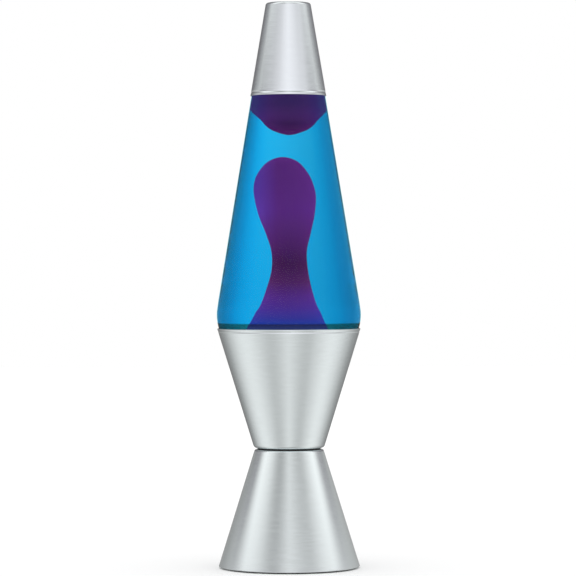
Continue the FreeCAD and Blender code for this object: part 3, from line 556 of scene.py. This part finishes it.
def make_world():
    world = bpy.data.worlds.new("studio")
    bpy.context.scene.world = world
    world.use_nodes = True
    tree = world.node_tree
    tree.nodes.clear()
    direction = add(tree, "ShaderNodeTexCoord").outputs["Generated"]
    split = add(tree, "ShaderNodeSeparateXYZ", {"Vector": direction})
    towards_front = maths(tree, "MULTIPLY", split.outputs["Y"], -1.0)
    azimuth = maths(tree, "ARCTAN2", split.outputs["X"], towards_front)
    swing = maths(tree, "SINE", maths(tree, "MULTIPLY", azimuth, THROUGH_WAVES))
    through = maths(tree, "MULTIPLY_ADD", swing, -THROUGH_SWING, 1.0)
    path = add(tree, "ShaderNodeLightPath")

    def light(colour, strength):
        return add(tree, "ShaderNodeBackground", {"Color": colour, "Strength": strength}).outputs[0]

    shader = light(WHITE, ROOM_FILL)
    for test, other in (
        ("Is Camera Ray", light(WHITE, 1.0)),
        ("Is Glossy Ray", light(mirrored_room(tree, azimuth, split.outputs["Z"]), BRIGHTEST)),
        ("Is Transmission Ray", light(WHITE, through)),
    ):
        shader = mixed_shader(tree, path.outputs[test], shader, other)
    add(tree, "ShaderNodeOutputWorld", {"Surface": shader})


def make_floor():
    """A pale floor that catches the shadow. Glass and metal show the plain room in its place."""
    material, tree = start_material("floor")
    diffuse = add(tree, "ShaderNodeBsdfDiffuse", {"Color": solid(grey(FLOOR_COLOUR))})
    end_material(tree, diffuse.outputs[0])
    half = FLOOR_SIZE / 2
    corners = [(-half, -half, 0), (half, -half, 0), (half, half, 0), (-half, half, 0)]
    floor = new_piece("floor", corners, [[0, 1, 2, 3]], material)
    floor.visible_glossy = False
    floor.visible_transmission = False


# Materials


def grained(name, colour, swing, rough, metallic, scale, relief, stretch=1.0):
    """A solid material with a fine grain in its colour, gloss and surface, stretched sideways."""
    material, tree = start_material(name)
    place = add(tree, "ShaderNodeTexCoord").outputs["Object"]
    squeeze = {"Vector": place, "Scale": (1 / stretch, 1 / stretch, 1.0)}
    place = add(tree, "ShaderNodeMapping", squeeze).outputs["Vector"]
    noise = {"Vector": place, "Scale": scale, "Detail": GRAIN_DETAIL}
    grain = add(tree, "ShaderNodeTexNoise", noise).outputs["Fac"]
    bump = add(tree, "ShaderNodeBump", {"Height": grain, "Strength": relief, "Distance": GRAIN_DEPTH})
    dark = [c * (1 - swing) for c in colour]
    light = [min(1.0, c * (1 + swing)) for c in colour]
    smooth = rough * (1 - GRAIN_GLOSS_SWING)
    coarse = rough * (1 + GRAIN_GLOSS_SWING)
    inputs = {
        "Base Color": ramp(tree, grain, list(zip(GRAIN_RANGE, (dark, light)))),
        "Metallic": metallic,
        "Roughness": ranged(tree, grain, *GRAIN_RANGE, smooth, coarse),
        "Normal": bump.outputs["Normal"],
    }
    end_material(tree, add(tree, "ShaderNodeBsdfPrincipled", inputs).outputs[0])
    return material


def satin_aluminium():
    finish = (ALUMINIUM, SATIN_COLOUR_SWING, SATIN_ROUGHNESS, 1.0, SATIN_GRAIN_SCALE, SATIN_RELIEF)
    return grained("spun_aluminium", *finish, stretch=SPIN_STRETCH)


def plain_finish(slot, colour):
    rough, metallic, relief = FINISHES[slot]
    return grained(slot, colour, PLAIN_COLOUR_SWING, rough, metallic, PLAIN_GRAIN_SCALE, relief)


def liquid_material():
    """Clear blue that bends light. It mirrors nothing, because the glass outside it does."""
    material, tree = start_material("blue_liquid")
    inputs = {
        "Base Color": solid(LIQUID_TINT),
        "Roughness": 0.0,
        "IOR": LIQUID_IOR,
        "Transmission Weight": 1.0,
        "Specular Tint": solid(grey(0.0)),
    }
    shader = add(tree, "ShaderNodeBsdfPrincipled", inputs)
    absorbing = {"Color": solid(LIQUID_COLOUR), "Density": LIQUID_DENSITY}
    absorb = add(tree, "ShaderNodeVolumeAbsorption", absorbing)
    end_material(tree, shader.outputs[0], absorb.outputs[0])
    return material


def clear_glass(name, gloss, edge_gloss, edge_tint_and_shade=None, heel_tint_and_shade=None):
    """Thin clear glass. It mirrors a little, and more at the edges, where the tint deepens too: partly the
    glass's own tint, partly painted shade. A darker heel is partly painted shade as well.
    """
    material, tree = start_material(name)
    away = turned_away(tree)
    colour = WHITE
    # Partly painted shade: the tint deepens where the surface turns away from the eye.
    if edge_tint_and_shade:
        colour = ramp(tree, away, edge_tint_and_shade)
    # Partly painted shade: the heel darkens below a height, for the dark cup seen through it.
    if heel_tint_and_shade:
        tint, (low, high) = heel_tint_and_shade
        above = ranged(tree, split_place(tree)["Z"], low, high)
        colour = tinted(tree, colour, blended(tree, above, solid(tint), WHITE))
    clear = add(tree, "ShaderNodeBsdfTransparent", {"Color": colour})
    mirror = add(tree, "ShaderNodeBsdfGlossy", {"Color": WHITE, "Roughness": GLASS_ROUGHNESS})
    amount = maths(tree, "MULTIPLY_ADD", maths(tree, "POWER", away, EDGE_GLOSS_POWER), edge_gloss, gloss)
    end_material(tree, mixed_shader(tree, amount, clear.outputs[0], mirror.outputs[0]))
    return material


def wax_material(name, painted_glow_stops, painted_rim, painted_side_light=None):
    """Wax with painted light: a glow painted in by height for the bulb's light through it, and a painted rim
    light where its surface turns away.
    """
    material, tree = start_material(name)
    low = painted_glow_stops[0][0] * MM
    high = painted_glow_stops[-1][0] * MM
    place = split_place(tree)
    # Painted glow by height, for the bulb's light shining up through the wax.
    share = ranged(tree, place["Z"], low, high)
    painted_glow = ramp(tree, share, [((z * MM - low) / (high - low), colour) for z, colour in painted_glow_stops])
    # Painted light from the left: the glow turns cooler and brighter on the column's left, high up.
    if painted_side_light:
        across = ranged(tree, place["X"], *WAX_PAINTED_SIDE_LIGHT_X)
        amount = maths(tree, "MULTIPLY", across, ranged(tree, place["Z"], *WAX_PAINTED_SIDE_LIGHT_Z))
        painted_glow = blended(tree, amount, painted_glow, tinted(tree, painted_glow, solid(painted_side_light)))
    # Painted rim light: the glow grows where the surface turns away from the eye.
    painted_rim_share, painted_rim_gain = painted_rim
    at_painted_rim = ranged(tree, turned_away(tree), 0.0, painted_rim_share)
    inputs = {
        "Base Color": solid(WAX_COLOUR),
        "Roughness": WAX_ROUGHNESS,
        "Specular IOR Level": 0.0,
        "Emission Color": blended(tree, at_painted_rim, painted_glow, tinted(tree, painted_glow, solid(painted_rim_gain))),
        "Emission Strength": 1.0,
    }
    end_material(tree, add(tree, "ShaderNodeBsdfPrincipled", inputs).outputs[0])
    return material


def filament_material(colour):
    material, tree = start_material("tungsten")
    inputs = {
        "Base Color": solid(grey(FILAMENT_GREY)),
        "Metallic": 1.0,
        "Roughness": FILAMENT_ROUGHNESS,
        "Emission Color": solid(colour),
        "Emission Strength": FILAMENT_GLOW,
    }
    end_material(tree, add(tree, "ShaderNodeBsdfPrincipled", inputs).outputs[0])
    return material


# Pieces


def make_wax(name, rows_mm, material, node):
    """A lump of wax: level rings, each with its own middle and radius."""
    vertices = []
    rings = []
    for z, middle, r in smooth_rows(rows_mm, WAX_STEPS):
        count = WAX_SEGMENTS if r > 0 else 1
        rings.append([len(vertices) + k for k in range(count)])
        for k in range(count):
            angle = TAU * k / count
            vertices.append(((middle + r * math.cos(angle)) * MM, r * math.sin(angle) * MM, z * MM))
    faces = []
    for above, below in zip(rings, rings[1:]):
        for k in range(WAX_SEGMENTS):
            upper = [above[m % len(above)] for m in (k + 1, k)]
            lower = [below[m % len(below)] for m in (k, k + 1)]
            faces.append(list(dict.fromkeys(upper + lower)))
    if len(rings[-1]) > 1:
        faces.append(rings[-1][::-1])
    settle(new_piece(name, vertices, faces, material), "globe", node)


def body_outline(surface, inset, top):
    """The bottle's outside, from the middle of its underside up to a height, drawn in by an inset."""
    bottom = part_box("glass_bottle")[0].z
    points = [(0.0, under_height(surface, NEAR_AXIS) + inset)]
    for i in range(1, UNDER_STEPS + 1):
        r = UNDER_R * i / UNDER_STEPS
        points.append((r, under_height(surface, r) + inset))
    heights = []
    for i in range(HEEL_STEPS + 1):
        heights.append(bottom + HEEL_START + HEEL_HEIGHT * (i / HEEL_STEPS) ** HEEL_CROWDING)
    heel_top = heights[-1]
    heights += [heel_top + (top - heel_top) * i / SIDE_STEPS for i in range(1, SIDE_STEPS + 1)]
    points += [(outer_radius(surface, z) - inset, z) for z in heights]
    return points


def shoulder_points(gap):
    return [(r * MM + gap, z * MM + gap) for r, z in LIQUID_SHOULDER_MM]


def make_liquid(surface, shoulder, material):
    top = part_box("lamp_liquid")[1].z
    outline = body_outline(surface, LIQUID_INSET, shoulder) + shoulder_points(0.0)
    outline += [(outline[-1][0], top), (0.0, top)]
    piece = turned("liquid", lambda angle: outline, BOTTLE_SEGMENTS, material)
    settle(piece, "globe", "lamp_liquid")


def make_bottle(surface, shoulder, material):
    """The bottle as a closed shell: a thin skin round the liquid, and the neck at its full thickness."""
    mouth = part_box("glass_bottle")[1].z
    outline = body_outline(surface, 0.0, shoulder)
    for i in range(1, NECK_STEPS + 1):
        z = shoulder + (mouth - MOUTH_BEVEL / 2 - shoulder) * i / NECK_STEPS
        outline.append((outer_radius(surface, z), z))
    inside = body_outline(surface, BOTTLE_SKIN, shoulder) + shoulder_points(SHOULDER_SKIN)
    outline += [(MOUTH_R + MOUTH_BEVEL, mouth), (MOUTH_R, mouth - MOUTH_BEVEL), *inside[::-1]]
    piece = turned("bottle", lambda angle: outline, BOTTLE_SEGMENTS, material)
    settle(piece, "globe", "glass_bottle")


def make_wire_coil(material):
    """A long spring bent round into a ring."""
    points = []
    for i in range(COIL_TURNS * POINTS_PER_TURN):
        along = TAU * i / (COIL_TURNS * POINTS_PER_TURN)
        turn = TAU * i / POINTS_PER_TURN
        r = COIL_RING_R + (COIL_R - COIL_WIRE_R) * math.cos(turn)
        z = COIL_Z + (COIL_R - COIL_WIRE_R) * math.sin(turn)
        points.append(Vector((r * math.cos(along), r * math.sin(along), z)))
    piece = tube("spring_ring", points, COIL_WIRE_R, COIL_WIRE_SIDES, material, closed=True)
    settle(piece, "globe", "wire_coil")


def make_filament(material):
    points = []
    count = FILAMENT_TURNS * POINTS_PER_TURN
    for i in range(count + 1):
        share = 2 * i / count - 1
        turn = TAU * i / POINTS_PER_TURN
        z = FILAMENT_Z + FILAMENT_RISE * (1 - share**2) + FILAMENT_R * math.sin(turn)
        points.append(Vector((FILAMENT_HALF * share, FILAMENT_R * math.cos(turn), z)))
    piece = tube("coiled_filament", points, FILAMENT_WIRE_R, FILAMENT_WIRE_SIDES, material)
    settle(piece, "bulb", "bulb_filament")


def thread_radius(z, angle, start, end):
    """The radius of the bulb's rolled thread, which fades out at both ends."""
    wave = (1 - math.cos(TAU * (z - start) / THREAD_PITCH - angle)) / 2
    fade = min(1.0, max(0.0, (z - start) / THREAD_FADE), max(0.0, (end - z) / THREAD_FADE))
    return THREAD_ROOT_R + THREAD_DEPTH * wave * fade


def steps_between(low, high):
    count = round((high - low) / THREAD_STEP)
    return [low + (high - low) * i / count for i in range(count + 1)]


def make_bulb_cap(material):
    low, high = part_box("bulb_screw_cap")
    heights = steps_between(low.z, high.z)

    def outline_at(angle):
        outside = [(thread_radius(z, angle, THREAD_START, THREAD_END), z) for z in heights]
        return [*outside, (CAP_INNER_R, high.z), (CAP_INNER_R, low.z)]

    piece = turned("threaded_bulb_cap", outline_at, THREAD_SEGMENTS, material, closed=True)
    settle(piece, "bulb", "bulb_screw_cap")


def make_screw_shell(material):
    """The holder's shell: the bulb's thread again, with play, and a floor turned in at the bottom."""
    low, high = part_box("lampholder_screw_shell")
    heights = steps_between(low.z + SHELL_THICKNESS, high.z)
    start = low.z + THREAD_FADE
    start_turn = TAU * (THREAD_START - start) / THREAD_PITCH

    def outline_at(angle):
        inside = [(thread_radius(z, angle + start_turn, start, high.z) + SHELL_PLAY, z) for z in heights]
        outside = [(r + SHELL_THICKNESS, z) for r, z in inside]
        ledge = [(SHELL_LEDGE_R, low.z + SHELL_THICKNESS), (SHELL_LEDGE_R, low.z), (outside[0][0], low.z)]
        return [*ledge, *outside, *inside[::-1]]

    piece = turned("threaded_holder_shell", outline_at, THREAD_SEGMENTS, material, closed=True)
    settle(piece, "base", "lampholder_screw_shell")


def make_materials():
    """The material of every slot in the record but the wax, which has two."""
    materials = {}
    for entry in frame["record"]["materials"]:
        slot = entry["slot"]
        if slot in FINISHES:
            materials[slot] = plain_finish(slot, entry["base_color"][:3])
        elif slot == "tungsten":
            materials[slot] = filament_material(entry["base_color"][:3])
    materials["spun_aluminium"] = satin_aluminium()
    materials["blue_liquid"] = liquid_material()
    materials["bulb_glass"] = clear_glass("bulb_glass", BULB_GLOSS, BULB_EDGE_GLOSS)
    materials["bottle_glass"] = clear_glass(
        "bottle_glass", BOTTLE_GLOSS, BOTTLE_EDGE_GLOSS, BOTTLE_EDGE_TINT_AND_SHADE, (HEEL_TINT_AND_SHADE, HEEL_TINT_AND_SHADE_Z)
    )
    return materials


def dress_cad_nodes(materials):
    """Give each CAD node the finish of its slot. The wax is drawn again, so its slot has none here."""
    for subpart in frame["record"]["subparts"]:
        if subpart["material_slot"] in materials:
            mesh = frame["nodes"][subpart["node"]].data
            mesh.materials.clear()
            mesh.materials.append(materials[subpart["material_slot"]])


make_camera()
bpy.context.scene.view_settings.view_transform = "Standard"
make_world()
make_floor()

materials = make_materials()
dress_cad_nodes(materials)

bottle_surface = node_surface("glass_bottle")
shoulder_z = LIQUID_SHOULDER_MM[0][1] * MM - SHOULDER_BELOW
make_liquid(bottle_surface, shoulder_z, materials["blue_liquid"])
make_bottle(bottle_surface, shoulder_z, materials["bottle_glass"])
# The wax's emission is painted light: a glow by height, a rim light and light from the left.
column_wax = wax_material("rising_wax", COLUMN_PAINTED_GLOW, COLUMN_PAINTED_RIM, WAX_PAINTED_SIDE_LIGHT)
make_wax("rising_wax", COLUMN_MM, column_wax, "wax_column")
make_wax("floating_wax", FLOAT_MM, wax_material("floating_wax", FLOAT_PAINTED_GLOW, FLOAT_PAINTED_RIM), "wax_float")
make_wire_coil(materials["coil_steel"])
make_bulb_cap(materials["bulb_nickel"])
make_screw_shell(materials["brass"])
make_filament(materials["tungsten"])
